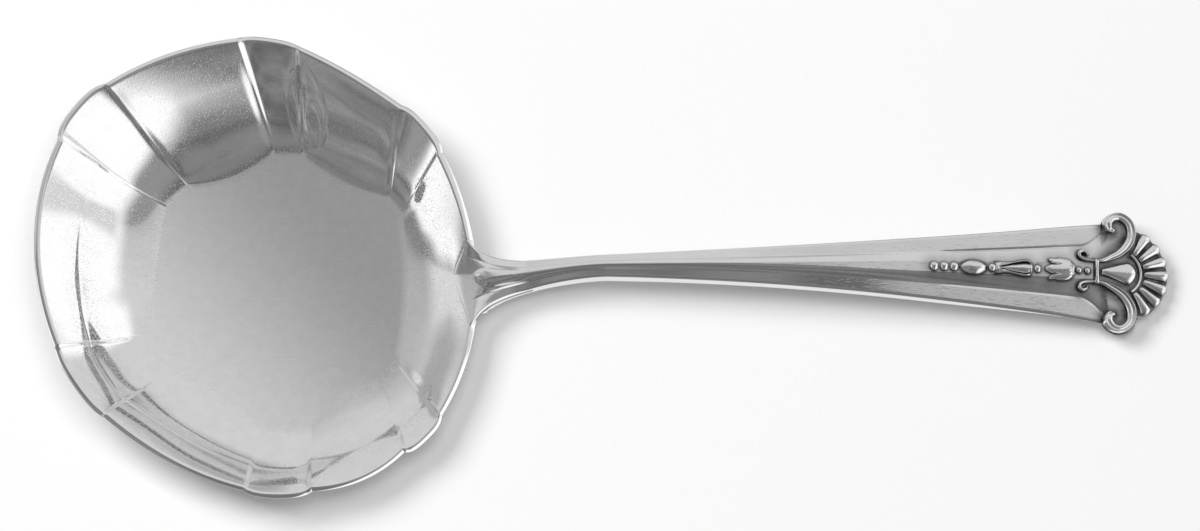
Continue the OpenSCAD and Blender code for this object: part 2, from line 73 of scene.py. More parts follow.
def make_mesh(name, points, faces, attributes):
    """One smooth-shaded piece from points in millimetres."""
    mesh = bpy.data.meshes.new(name)
    mesh.from_pydata((np.asarray(points, float) * MM).tolist(), [], [list(map(int, f)) for f in faces])
    mesh.validate()
    mesh.shade_smooth()
    for key, values in attributes.items():
        layer = mesh.attributes.new(key, "FLOAT", "POINT")
        layer.data.foreach_set("value", np.asarray(values, np.float32))
    obj = bpy.data.objects.new(name, mesh)
    bpy.context.scene.collection.objects.link(obj)
    return obj


def grid_faces(rows, cols, wrap, start=0, flip=False):
    """Quads of a grid of points, closed round its columns if wrap is set."""
    faces = []
    for r in range(rows - 1):
        for c in range(cols if wrap else cols - 1):
            d = (c + 1) % cols
            p, q = start + r * cols + c, start + r * cols + d
            quad = [p, q, q + cols, p + cols]
            faces.append(quad[::-1] if flip else quad)
    return faces


def fan_faces(first, n, middle, flip=False):
    """Triangles from a ring of n points to its middle point."""
    faces = [[first + c, first + (c + 1) % n, middle] for c in range(n)]
    return [f[::-1] for f in faces] if flip else faces


# Bowl: the same lobes, flutes and wall as the CAD, in fine steps
RIM_R, RIM_SKEW, SKEW_DIR = 25.9, 1.15, 126.0
RIM_MID, FLOOR_MID = np.array([-2.3, -0.75]), np.array([0.0, -1.6])
RIM_Z, RIM_TILT, TILT_DIR = 7.4, 2.6, 155.0
FLOOR_R, FLOOR_DRAW, FLOOR_DISH = 16.0, 1.8, 0.6
BASE_R, FLOOR_T, RIM_T, RIM_NECK_T = 8.0, 0.8, 0.5, 0.4
FLUTE_BULGE, LOBE_DRAW, NECK_DRAW = 0.5, 0.35, 0.8
# Angle of each crease at the rim and at the floor, and the share of its bulge or draw that the lobe after it has
CREASES = [(-38.9, -34, 1), (33.9, 33, 1), (50.4, 41, 1.2), (80.5, 82, 0.7), (96.4, 94, 1.2), (130.5, 132, 1.5),
           (149, 145, 1), (203.9, 200, 0.8), (226.8, 218, 1), (266.8, 261, 1), (283.6, 283, -1.3),
           (308.1, 316, 1.2), (321.1, 326, 1)]
LOBES = len(CREASES) - 1
FLOOR_SLOPE = math.degrees(math.atan(2 * FLOOR_DISH / FLOOR_R))
FLOOR_Z = FLOOR_T - FLOOR_DISH * (BASE_R / FLOOR_R) ** 2
# Share of a lobe's width over which its bend at the floor fades out beside a crease
BEND_FADE = 0.06


def rim_thickness(a):
    return RIM_T + RIM_NECK_T * ((1 + cosd(a)) / 2) ** 3


def rim_radius(a):
    return RIM_R + RIM_SKEW * cosd(2 * (a - SKEW_DIR))


def rim_height(a):
    return RIM_Z + RIM_TILT * cosd(a - TILT_DIR)


def out_dir(a):
    return np.stack([cosd(a), sind(a)], -1)


def spoke(i, u, bend=0.0):
    """Rim angle, floor angle, stand-out at the rim, floor radius and first slope, one row for each u."""
    mix = [lerp(CREASES[i][k], CREASES[i + 1][k], u) for k in (0, 1)]
    share = CREASES[i][2]
    start = FLOOR_SLOPE + bend * smooth(np.minimum(u, 1 - u) / BEND_FADE)
    if i % 2 == 1:
        bulge = share * FLUTE_BULGE * (1 - (2 * u - 1) ** 4)
        return np.column_stack([*mix, bulge, np.full(len(u), FLOOR_R), start])
    lobe = 1 - (2 * u - 1) ** 2
    draw = NECK_DRAW if i == 0 else LOBE_DRAW
    return np.column_stack([*mix, -share * draw * lobe, FLOOR_R - FLOOR_DRAW * lobe, start])


def dish(xy):
    """Height of the smooth floor, a shallow dish round its own middle."""
    return FLOOR_Z + FLOOR_DISH * ((xy - FLOOR_MID) ** 2).sum(-1) / FLOOR_R ** 2


def floor_inner(s, g):
    xy = g * (FLOOR_MID + s[:, 3:4] * out_dir(s[:, 1]))
    return np.column_stack([xy, dish(xy)])


def wall_ends(s):
    """Foot and top of the inner wall, the height between them, and the CAD's slopes at the foot and the rim."""
    foot = FLOOR_MID + s[:, 3:4] * out_dir(s[:, 1])
    top = RIM_MID + (rim_radius(s[:, 0]) - rim_thickness(s[:, 0]) + s[:, 2])[:, None] * out_dir(s[:, 0])
    height = rim_height(s[:, 0]) - dish(foot)
    run = np.linalg.norm(top - foot, axis=1)
    return foot, top, height, s[:, 4], 2 * np.degrees(np.arctan(height / run)) - s[:, 4]


def wall_outer(s, f):
    """Back of the wall at share f of its turn: the CAD's arc, set off by the wall's thickness."""
    foot, top, height, start, end = wall_ends(s)
    slope = lerp(start, end, f)
    run = (sind(slope) - sind(start)) / (sind(end) - sind(start))
    rise = (cosd(start) - cosd(slope)) / (cosd(start) - cosd(end))
    p = np.column_stack([lerp(foot, top, run[:, None]), dish(foot) + height * rise])
    t = lerp(FLOOR_T, rim_thickness(s[:, 0]), f)
    p[:, :2] += (t * sind(slope))[:, None] * out_dir(s[:, 0])
    p[:, 2] -= t * cosd(slope)
    return p


# Inside of the wall: it turns up quickly up to the share TURN of its run, and then flares a little to the rim
TURN, SOONER, FLARE = 0.66, 0.26, 0.35
# Stretches of the wall that differ, by rim angle: start, how softly it begins, end, how softly it ends
LOWER_SIDE, LOWER_EASE = (230, 25, 335, 20), 0.9
OPPOSITE_NECK, OPPOSITE_EASE = (180, 15, 235, 20), -0.35
LEFT_OF_NECK = (9, 12, 56, 10)
SET_LINE, SET_LINE_DEPTH, SET_LINE_W = (155, 10, 262, 10), 0.03, 0.2
# Extra slope of each lobe at the floor, in degrees
BENDS = (5, 2.5, 2.5, 2.5, 2.5, 2, 0, 0, 0, 0, 0, 1)
# Depth of each flute, where on the wall it begins, and the width of its steps
FLUTES = {1: (0.02, 0.0, 0.7), 3: (0.22, 0.0, 0.7), 5: (0.15, 0.0, 0.5), 7: (0.2, 0.0, 0.6), 9: (0.16, 0.45, 0.6),
          11: (0.1, 0.4, 0.6)}
# How far a lobe rolls up to its first and its last crease
ROLLS = {2: (0.0, 0.15), 4: (0.0, 0.5), 6: (0.3, 0.1)}
ROLL_W = 5.0
# Shares of the wall's run: over which presses and rolls come in, where rolls begin to go, and how long that takes
PRESS_IN, ROLL_OUT, ROLL_OUT_RUN = 0.4, 0.6, 0.35


def stretch_share(turn, limits):
    start, rise, end, drop = limits
    return smooth((turn - start) / rise) * smooth((end - turn) / drop)


def wall_face(s, t):
    """Inside of the wall at share t of its run from the foot to the rim."""
    foot, top, height, start, _ = wall_ends(s)
    run = np.linalg.norm(top - foot, axis=1)
    low = np.tan(np.radians(start))
    turn = s[:, 0] % 360
    # On the lower side the floor runs into the wall with no edge, and opposite the neck it turns up a little sooner
    ease = 1 + LOWER_EASE * stretch_share(turn, LOWER_SIDE) + OPPOSITE_EASE * stretch_share(turn, OPPOSITE_NECK)
    # Left of the neck it turns up sooner, and is straight above that
    beside = stretch_share(turn, LEFT_OF_NECK)
    bend, flare = TURN - SOONER * beside, FLARE * (1 - beside)
    early, late = np.minimum(t, bend), np.maximum(0, t - bend)
    past = (1 - bend) * (1 - flare / 2)
    high = (height / run - low * bend * ease / (ease + 1)) / (bend / (ease + 1) + past)
    rise = low * early + (high - low) * early ** (ease + 1) / ((ease + 1) * bend ** ease)
    rise += high * (late - flare * late ** 2 / (2 * (1 - bend)))
    # A fine line is set down where the rim begins to flare
    line = SET_LINE_DEPTH * np.exp(-((t - TURN) * run / SET_LINE_W) ** 2) * stretch_share(turn, SET_LINE)
    return np.column_stack([lerp(foot, top, t), dish(foot) + run * rise - line])


def press(i, u, t):
    """Flutes are pressed down between their creases, and some lobes roll up to theirs."""
    width = math.radians(CREASES[i + 1][0] - CREASES[i][0]) * lerp(FLOOR_R, RIM_R, t)
    near, far = u * width, (1 - u) * width
    if i in FLUTES:
        depth, late, step = FLUTES[i]
        return -depth * smooth((t - late) / PRESS_IN) * smooth(np.minimum(near, far) / step)
    first, last = ROLLS.get(i, (0.0, 0.0))
    roll = first * np.maximum(0, 1 - near / ROLL_W) ** 2 + last * np.maximum(0, 1 - far / ROLL_W) ** 2
    return roll * smooth(t / PRESS_IN) * (1 - smooth((t - ROLL_OUT) / ROLL_OUT_RUN))


# Lap of the heel over the rim: its rim angles to both sides of the neck, and its shares of the wall's run at the
# middle and at the sides. Under it the rim is lower.
LAP_LEFT, LAP_RIGHT = 9.0, 15.0
LAP_MIDDLE, LAP_SIDE, LAP_CURVE = 0.68, 0.985, 1.5
LAP_SINK, LAP_SINK_LATE, LAP_SINK_RUN = 0.5, 0.02, 0.15
NO_LAP = 2.0


def lap_edge(w):
    return lerp(LAP_MIDDLE, LAP_SIDE, w ** LAP_CURVE)


def lap_start(a):
    """Where on the wall the heel of the handle begins to lap over it, past the rim beside the heel."""
    turn = np.where(a > 180, a - 360, a)
    w = abs(turn) / np.where(turn > 0, LAP_LEFT, LAP_RIGHT)
    return np.where(w < 1, lap_edge(w), NO_LAP)


# Looped dents in one lobe, pressed up from the back: middle, half axes, tilt and height
LOOPS = [((2.6, 18.6), (1.9, 4.2), 14, 0.05), ((3.4, 17.2), (0.8, 2.0), 14, 0.04)]
LOOP_W = 0.16
LOOPED_LOBE, LOOPED_STEPS = 2, 110
STEPS_PER_DEGREE, LEAST_STEPS = 1.4, 40
FLOOR_ROWS, WALL_ROWS, LIP_ROWS, BACK_ROWS, BASE_ROWS = 15, 93, 9, 21, 7
# Share of the wall's run at which the lip's rounding begins
LIP_START = 0.975


def build_bowl():
    steps = [max(LEAST_STEPS, int((CREASES[i + 1][0] - CREASES[i][0]) * STEPS_PER_DEGREE)) for i in range(LOBES)]
    steps[LOOPED_LOBE] = LOOPED_STEPS
    shares = [(1 - np.cos(np.pi * np.arange(n) / n)) / 2 for n in steps]
    s = np.vstack([spoke(i, u, BENDS[i]) for i, u in enumerate(shares)])
    back = np.vstack([spoke(i, u) for i, u in enumerate(shares)])

    def wall(t, inside):
        p = wall_face(s, t) if inside else wall_outer(back, t)
        p[:, 2] += np.concatenate([press(i, u, t) for i, u in enumerate(shares)])
        p[:, 2] -= LAP_SINK * smooth((t - lap_start(s[:, 0]) - LAP_SINK_LATE) / LAP_SINK_RUN)
        for mid, half, tilt, height in LOOPS:
            d = p[:, :2] - mid
            u = (d[:, 0] * cosd(tilt) + d[:, 1] * sind(tilt)) / half[0]
            v = (d[:, 1] * cosd(tilt) - d[:, 0] * sind(tilt)) / half[1]
            p[:, 2] += height * np.exp(-((np.hypot(u, v) - 1) * half[0] / LOOP_W) ** 2)
        return p

    rings = [floor_inner(s, g) for g in np.linspace(0, 1, FLOOR_ROWS + 2)[1:-1]]
    rings += [wall(t, True) for t in np.linspace(0, LIP_START, WALL_ROWS)]
    lip_in, lip_out, lip_top = wall(LIP_START, True), wall(LIP_START, False), wall(1.0, True)
    for a in np.linspace(0, np.pi, LIP_ROWS + 2)[1:-1]:
        rings.append(lerp(lip_in, lip_out, (1 - math.cos(a)) / 2) + math.sin(a) * (lip_top - lip_in))
    rings += [wall(t, False) for t in np.linspace(LIP_START, 0, BACK_ROWS)]
    for g in np.linspace(1, 0, BASE_ROWS + 2)[1:-1]:
        p = floor_inner(s, g)
        p[:, 2] = np.maximum(p[:, 2] - FLOOR_T, 0)
        rings.append(p)
    rings[-1][:, 2] = 0
    n = len(s)
    points = np.vstack([[0, 0, dish(np.zeros(2))]] + rings + [[0, 0, 0]])
    points[:, 2] = np.maximum(points[:, 2], 0)
    faces = grid_faces(len(rings), n, True, 1, True)
    faces += fan_faces(1, n, 0)
    faces += fan_faces(1 + (len(rings) - 1) * n, n, len(points) - 1, True)
    rows = np.arange(len(rings)).repeat(n)
    on_wall = (rows >= FLOOR_ROWS) & (rows < FLOOR_ROWS + WALL_ROWS)
    return make_mesh("fluted_bowl", points, faces, {"grain": np.concatenate([[0], on_wall, [0]])})


# Handle: crest, width and profile as in the CAD, in fine steps
NECK_X, FOLD_X, PANEL_LEAD = 36.5, 89.3, 1.2
NECK_W, END_W, FLARE_STRAIGHT = 2.6, 11.35, 0.4
NECK_T, PANEL_T, TIP_T = 3.2, 2.9, 1.7
CROWN_H, BEVEL_FALL, BEVEL_END_FALL = 0.45, 0.25, 0.03
PANEL_SLOPE, END_SLOPE = 4.5, 13.5
HEEL_W, HEEL_H, HEEL_DROP, HEEL_ASIDE, SOLDER_GAP = 7.8, 3.3, 1.6, 1.75, 0.05
BEAD_D, BEAD_PITCH, OVAL_L, OVAL_W, HUSK_L, HUSK_W = 1.0, 1.12, 3.2, 1.75, 4.3, 1.9
FLOWER_L, FLOWER_GAP, RELIEF_H, RELIEF_GAP = 3.4, 0.4, 0.6, 0.08
LATE_D, MID_D, SMALL_D, SMALL_US = 0.85, 0.9, 0.7, (0.45, 1.45)
PALMETTE_R, PALMETTE_U, PALMETTE_OPEN, PALMETTE_EDGE = 5.45, 5.5, 66.0, 0.15
PLATE_R = PALMETTE_R - PALMETTE_EDGE
# How far the mid bead stands ahead of the husk, which is hollowed round it
HUSK_LEAD = 0.3 * BEAD_D
LATE_X = FOLD_X - FLOWER_L - FLOWER_GAP - LATE_D / 2
HUSK_X = LATE_X - LATE_D / 2 - RELIEF_GAP - HUSK_L
MID_X = HUSK_X - HUSK_LEAD
OVAL_X = MID_X - MID_D / 2 - RELIEF_GAP - OVAL_L / 2
FIRST_X = OVAL_X - OVAL_L / 2 - RELIEF_GAP - BEAD_D / 2 - 2 * BEAD_PITCH
PANEL_X = FIRST_X - PANEL_LEAD
TAN_P, TAN_E = math.tan(math.radians(PANEL_SLOPE)), math.tan(math.radians(END_SLOPE))
COS_E = math.cos(math.radians(END_SLOPE))
PALMETTE_X = FOLD_X + PALMETTE_U * COS_E
TIP_X = PALMETTE_X + PLATE_R * COS_E
FOLD_Z = TIP_T + (TIP_X - FOLD_X) * TAN_E
PANEL_Z = FOLD_Z + (FOLD_X - PANEL_X) * TAN_P
STEM_L = PANEL_X - NECK_X
RIM_EDGE_Z = float(wall_outer(spoke(0, np.array([0.5])), 1.0)[0, 2])
HALVINGS = 22


def find_between(test, n):
    """The share from 0 to 1 up to which test holds, for each of n places."""
    lo, hi = np.zeros(n), np.ones(n)
    for _ in range(HALVINGS):
        m = (lo + hi) / 2
        below = test(m)
        lo, hi = np.where(below, m, lo), np.where(below, hi, m)
    return (lo + hi) / 2


def back_x(y, z):
    """Places on the back of the bowl's outer wall at side steps y and heights z."""
    def at(u):
        s = spoke(0, u)
        return wall_outer(s, find_between(lambda f: wall_outer(s, f)[:, 2] < z, len(z)))
    return at(find_between(lambda u: at(u)[:, 1] < y, len(y)))[:, 0]


HEEL_X = float(back_x(np.array([-HEEL_ASIDE]), np.array([RIM_EDGE_Z]))[0]) + SOLDER_GAP
BOW_L = PANEL_X - HEEL_X
FOLD_EASE = 3.0
HEEL_CLIMB = 2 * (PANEL_Z - RIM_EDGE_Z) / BOW_L + TAN_P


def crest_z(x):
    d = x - HEEL_X
    stem = RIM_EDGE_Z + HEEL_CLIMB * d - (HEEL_CLIMB + TAN_P) * d * d / (2 * BOW_L)
    ease = (TAN_E - TAN_P) * np.maximum(0, FOLD_EASE - abs(x - FOLD_X)) ** 2 / (4 * FOLD_EASE)
    return np.where(x < PANEL_X, stem,
                    np.where(x < FOLD_X, PANEL_Z - (x - PANEL_X) * TAN_P, FOLD_Z - (x - FOLD_X) * TAN_E)) - ease


# Powers of the heel's share: how it sets aside, fades into the stem and thickens, and the two curves of its width
ASIDE_POWER, FADE_POWER, THICK_POWER = 1.45, 1.9, 3.5
SLOW_POWER, FAST_POWER, FAST_PART = 2.4, 10, 0.45


def heel_share(x):
    return clamp01((NECK_X - x) / (NECK_X - HEEL_X))


def heel_fade(x):
    return heel_share(x) ** FADE_POWER


def middle_y(x):
    return -HEEL_ASIDE * heel_share(x) ** ASIDE_POWER


# Volutes: their middle and half length are shares of the scroll's run
VOLUTE_Y, VOLUTE_R, COLLAR_U, SCROLL_CLEAR = 4.9, 2.1, 2.5, 1.02
VOLUTE_MID, VOLUTE_HALF = 0.613, 0.517
SCROLL_RUN = PALMETTE_U + VOLUTE_Y / math.tan(math.radians(PALMETTE_OPEN)) - SCROLL_CLEAR - COLLAR_U
VOLUTE_X = FOLD_X + (COLLAR_U + VOLUTE_MID * SCROLL_RUN) * COS_E
VOLUTE_L = VOLUTE_HALF * SCROLL_RUN * COS_E
VOLUTE_START = VOLUTE_X - VOLUTE_L
TIP_LEAST = 0.12


def half_w(x):
    t = clamp01((x - NECK_X) / (VOLUTE_START - NECK_X))
    flare = lerp(NECK_W, END_W, FLARE_STRAIGHT * t + (1 - FLARE_STRAIGHT) * t * t) / 2
    h = heel_share(x)
    heel = lerp(NECK_W, HEEL_W, lerp(h ** SLOW_POWER, h ** FAST_POWER, FAST_PART)) / 2
    across = VOLUTE_Y + VOLUTE_R * half_round((x - VOLUTE_X) / VOLUTE_L)
    volute = np.where(abs(x - VOLUTE_X) < VOLUTE_L, across, 0)
    plate = PLATE_R * np.maximum(TIP_LEAST, half_round((x - PALMETTE_X) / (PLATE_R * COS_E)))
    return np.where(x < NECK_X, heel, np.where(x < VOLUTE_X, np.maximum(flare, volute), np.maximum(volute, plate)))


# Crown: the share of the half width that it fills at the neck, the fold and the heel, and where it fades out
CROWN_NECK, CROWN_FOLD, CROWN_HEEL, CROWN_OUT = 0.38, 0.54, 0.8, 1.3


def crown_share(x):
    along = lerp(CROWN_NECK, CROWN_FOLD, clamp01((x - NECK_X) / (FOLD_X - NECK_X)))
    # Past the fold its border swings out to the volutes
    past = x - FOLD_X
    spread = 0.3 * clamp01((past - 0.7) / 2.6) ** 1.6 + 0.12 * smooth((past - 3.2) / 0.8)
    return np.where(x < NECK_X, lerp(along, CROWN_HEEL, heel_fade(x)), along + spread)


def crown_fade(x):
    return 1 - smooth((x - VOLUTE_START) / CROWN_OUT)


def crown_drop(x):
    return lerp(CROWN_H * crown_fade(x), HEEL_DROP, heel_fade(x))


def thickness(x):
    stem = lerp(NECK_T, PANEL_T, clamp01((x - NECK_X) / STEM_L))
    return np.where(x < PANEL_X, lerp(stem, HEEL_H, heel_share(x) ** THICK_POWER),
                    lerp(PANEL_T, TIP_T, smooth((x - PANEL_X) / (FOLD_X - PANEL_X))))


LEAN, LEAN_RUN = math.tan(math.radians(3.5)), 10


def lean(x):
    """The spoon lies rolled a little to its right, so the left edge of the panel stands higher."""
    return LEAN * smooth((x - NECK_X) / LEAN_RUN)


# The crown's top becomes a flat seat for the ornament, and a line is engraved along its border
SEAT_W, SEAT_X, SEAT_RUN = 0.17, 50, 22
STEM_ROUND, SEAT_ROUND = 2.0, 1.5
LINE_DEPTH, LINE_W, LINE_X, LINE_RUN = 0.10, 0.09, 73.5, 5
LAP_X, UNDER_LAP, UNDER_LAP_LEAD, UNDER_LAP_RUN = 28.0, 0.35, 0.3, 1.5


def top_z(x, share):
    c, w = crown_share(x), abs(share)
    seated = smooth((x - SEAT_X) / SEAT_RUN)
    flat = SEAT_W * seated * crown_fade(x)
    form = clamp01((w - flat) / (c - flat)) ** lerp(STEM_ROUND, SEAT_ROUND, seated)
    lift = lerp(-BEVEL_FALL, -BEVEL_END_FALL, smooth((x - NECK_X) / STEM_L))
    bevel = lift * crown_fade(x) * (1 - heel_fade(x)) * np.maximum(0, w - c) / (1 - c)
    line = LINE_DEPTH * smooth((x - LINE_X) / LINE_RUN) * crown_fade(x) * np.exp(-(((w - c) * half_w(x)) / LINE_W) ** 2)
    under_lap = UNDER_LAP * smooth((LAP_X - UNDER_LAP_LEAD - x) / UNDER_LAP_RUN)
    return crest_z(x) - crown_drop(x) * form + bevel - line + lean(x) * share * half_w(x) - under_lap


EDGE_R = 0.3
LAP_COLS, LAP_ROWS, LAP_EDGE_STEPS = 81, 50, 6
# Turn of the lap's sides from up the wall to along the rim
SWING, SWING_POWER = 80, 1.6
# Rounded nose of the crown: height, middle and half width across the lap
NOSE_H, NOSE_MID, NOSE_HALF = 0.32, -0.1, 0.42
# How deep the lap's first row, its sides and its hidden end cap go
LAP_DIP, LAP_DIP_RUN, LAP_SKIRT, LAP_CAP = 0.04, 0.04, 0.7, 1.05


def build_lap():
    """The heel's face: it runs over the rim and down the inside of the bowl, filleted into both."""
    v = np.linspace(-1, 1, LAP_COLS)
    w = abs(v)
    angle = np.where(v > 0, LAP_LEFT, LAP_RIGHT) * v
    inner = 1 - EDGE_R / float(half_w(LAP_X))

    def on_wall(a, t):
        u = (a - CREASES[0][0]) / (CREASES[1][0] - CREASES[0][0])
        s = spoke(0, u, BENDS[0])
        return np.vstack([wall_face(s[k:k + 1], float(t[k])) for k in range(len(u))])

    def on_handle(x):
        xs, shares = np.full(len(v), x), v * inner
        return np.column_stack([xs, middle_y(x) + shares * half_w(x), top_z(xs, shares)])

    t = lap_edge(w)
    begin, end = on_wall(angle, t), on_handle(LAP_X)
    radial = unit(on_wall(angle, t + 0.01) - on_wall(angle, t - 0.01))
    along = unit(on_wall(angle - 0.2 * np.sign(v), t) - begin + 1e-9)
    swing = np.radians(SWING * w ** SWING_POWER)[:, None]
    reach = np.linalg.norm(end - begin, axis=1)[:, None]
    leave = reach * unit(np.cos(swing) * radial + np.sin(swing) * along)
    arrive = reach * unit(on_handle(LAP_X + 0.05) - end)
    across = (v - NOSE_MID) / NOSE_HALF
    ridge = NOSE_H * half_round(np.minimum(1, across))
    sheet = []
    for k in np.linspace(0, 1, LAP_ROWS):
        row = ((2 * k ** 3 - 3 * k ** 2 + 1) * begin + (k ** 3 - 2 * k ** 2 + k) * leave
               + (3 * k ** 2 - 2 * k ** 3) * end + (k ** 3 - k ** 2) * arrive)
        row[:, 2] -= LAP_DIP * (1 - smooth(k / LAP_DIP_RUN))
        # The crown of the stem begins in a rounded nose on the heel
        row[:, 2] += ridge * smooth((k - 0.3 - 0.14 * across ** 2) / 0.12) * (1 - smooth((k - 0.45) / 0.5))
        sheet.append(row)
    # Past its end the sheet dips under the face of the handle
    for d in (0.1, 0.2, 0.3):
        row = on_handle(LAP_X + d)
        row[:, 2] -= 0.5 * d * d
        sheet.append(row)
    sheet = np.array(sheet)
    sides = []
    for edge, sign in ((sheet[:, -1], 1), (sheet[:, 0], -1)):
        way = unit(np.gradient(edge, axis=0)[:, :2])
        outward = sign * np.column_stack([-way[:, 1], way[:, 0]])
        rows = []
        for a in np.linspace(0, np.pi / 2, LAP_EDGE_STEPS + 1)[1:]:
            q = edge.copy()
            q[:, :2] += EDGE_R * math.sin(a) * outward
            q[:, 2] -= EDGE_R * (1 - math.cos(a))
            rows.append(q)
        sides.append(rows + [rows[-1] - (0, 0, LAP_SKIRT)])
    rings = [np.vstack([sheet[k]] + [q[k:k + 1] for q in sides[0] + sides[1][::-1]]) for k in range(len(sheet))]
    # Its first edge goes down into the wall of the bowl, so that the end cap is hidden there
    cap = rings[0].copy()
    edge_z = sheet[0, :, 2]
    cap[:, 2] = np.concatenate([edge_z, [edge_z[-1]] * len(sides[0]), [edge_z[0]] * len(sides[1])]) - LAP_CAP
    rings.insert(0, cap)
    n = len(cap)
    faces = grid_faces(len(rings), n, True)
    faces += [list(range(n))[::-1], [(len(rings) - 1) * n + c for c in range(n)]]
    return np.vstack(rings), faces


TOP_STEPS, LOW_STEPS, EDGE_STEPS, FLANK_STEPS = 101, 17, 7, 4
LOW_R, LOW_EDGE, EDGE_SHARE = 0.5, 0.9, 0.3
# Length over which the heel's end takes the shape of the bowl's back
HEEL_FIT, LEAST_HEEL_Z = 0.8, 0.8
FAR_GAP = 9.0


def handle_stations():
    """Places along the handle: closer at the heel, and following the arcs of volute and palmette."""
    heel = lerp(HEEL_X, NECK_X, np.linspace(0, 1, 90) ** 1.3)
    stem = np.linspace(NECK_X, PANEL_X, 140)[1:]
    panel = np.linspace(PANEL_X, FOLD_X, 120)[1:]
    end = np.linspace(FOLD_X, VOLUTE_START, 30)[1:]
    arc = np.linspace(0, np.pi / 2, 24)[1:]
    into = VOLUTE_X - VOLUTE_L * np.cos(arc)
    out = VOLUTE_X + VOLUTE_L * np.sin(arc)
    tip = lerp(out[-1], TIP_X, np.sin(arc))
    return np.concatenate([heel, stem, panel, end, into, out, tip])


def handle_ring(x):
    """Closed section of the handle: top, left flank, underside and right flank."""
    hw, t, crest = float(half_w(x)), float(thickness(x)), float(crest_z(x))
    r = min(EDGE_R, hw * EDGE_SHARE)
    low_r = min(LOW_R, r * 1.6, hw * EDGE_SHARE)
    inner, low_in = 1 - r / hw, 1 - low_r / hw
    low_edge = crest - t * LOW_EDGE
    turn = np.linspace(0, np.pi / 2, EDGE_STEPS + 1)[1:]

    def flank(sign):
        edge_z = float(top_z(x, sign * inner))
        rows = [[inner + (r / hw) * math.sin(a), edge_z - r * (1 - math.cos(a))] for a in turn]
        rows += [[1.0, z] for z in np.linspace(edge_z - r, low_edge + low_r, FLANK_STEPS + 1)[1:]]
        rows += [[1 - (low_r / hw) * (1 - math.cos(a)), low_edge + low_r * (1 - math.sin(a))] for a in turn]
        return np.array(rows) * (sign, 1)

    shares = inner * np.linspace(-1, 1, TOP_STEPS)
    top = np.column_stack([shares, top_z(np.full(TOP_STEPS, x), shares)])
    low = np.linspace(low_in, -low_in, LOW_STEPS)[1:-1]
    low = np.column_stack([low, crest - t * (1 - (1 - LOW_EDGE) * abs(low / low_in) ** 3)])
    loop = np.vstack([top, flank(1), low, flank(-1)[::-1]])
    ring = np.column_stack([np.full(len(loop), x), middle_y(x) + loop[:, 0] * hw, loop[:, 1]])
    from_end = x - HEEL_X
    if from_end < HEEL_FIT:
        back = back_x(ring[:, 1], np.clip(ring[:, 2], LEAST_HEEL_Z, RIM_EDGE_Z)) + SOLDER_GAP
        ring[:, 0] = lerp(ring[:, 0], back + from_end, 1 - from_end / HEEL_FIT)
    return ring


def handle_patina_and_shade(points):
    """Patina and painted shade: dark close round the ornament, and a little between the scrolls."""
    gap = np.full(len(points), FAR_GAP)
    spots = np.vstack(OUTLINES)[:, :2]
    near = np.where((points[:, 0] > FIRST_X - 2) & (points[:, 2] > crest_z(points[:, 0]) - 1.2))[0]
    for part in np.array_split(near, 60):
        gap[part] = np.sqrt(((points[part, None, :2] - spots[None]) ** 2).sum(-1).min(1))
    inside = smooth((points[:, 0] - FOLD_X - 1.8) / 1.5) * (gap < FAR_GAP)
    close = 0.95 * np.exp(-(gap / 0.3) ** 2)
    wide = lerp(0.4, 0.75, inside) * np.exp(-(gap / 0.9) ** 2)
    return clamp01(np.maximum(close, wide) + 0.2 * inside)


def build_handle():
    rings = [handle_ring(x) for x in handle_stations()]
    n, last = len(rings[0]), (len(rings) - 1) * len(rings[0])
    points = np.vstack(rings + [rings[-1].mean(0)[None], rings[0].mean(0)[None]])
    faces = grid_faces(len(rings), n, True)
    faces += fan_faces(last, n, len(points) - 2)
    faces += fan_faces(0, n, len(points) - 1, True)
    lap, lap_faces = build_lap()
    faces += [[k + len(points) for k in f] for f in lap_faces]
    points = np.vstack([points, lap])
    return make_mesh("struck_handle", points, faces, {"patina_and_shade": handle_patina_and_shade(points)})


# Ornament: pieces drawn in the plane of their seat, u along the handle, v across, height above it
def seat_matrix(x, z, slope):
    return Matrix.Translation((x, 0, z)) @ Matrix.Rotation(math.radians(slope), 4, "Y")


ON_END = seat_matrix(FOLD_X, FOLD_Z, END_SLOPE)


def on_panel(x):
    return seat_matrix(x, PANEL_Z - (x - PANEL_X) * TAN_P, PANEL_SLOPE)


def place(points, matrix):
    m = np.array(matrix)
    p = np.asarray(points, float) @ m[:3, :3].T + m[:3, 3]
    p[:, 2] += lean(p[:, 0]) * p[:, 1]
    return p


def recess_patina_and_shade(height, low, high):
    """Patina and painted shade: dark in the recesses, bright on the heights."""
    return 1 - smooth((height - low) / (high - low))


def curve(points, n):
    """Smooth curve through points, in n steps from each to the next."""
    p = np.asarray(points, float)
    out = []
    for i in range(len(p) - 1):
        a, b, c, d = p[max(0, i - 1)], p[i], p[i + 1], p[min(len(p) - 1, i + 2)]
        for t in np.arange(n) / n:
            square, cube = (2 * a - 5 * b + 4 * c - d) * t ** 2, (3 * b - a - 3 * c + d) * t ** 3
            out.append((2 * b + (c - a) * t + square + cube) / 2)
    return np.array(out + [p[-1]])


# Outlines of the ornament on the handle, which is dark round them
OUTLINES = []
# How far pieces go down into the handle
SKIRT, BEAD_SKIRT = 0.45, 0.12


def skirted(row):
    foot = row[[0, -1]].copy()
    foot[:, 2] = -SKIRT
    return np.vstack([foot[:1], row, foot[1:]])


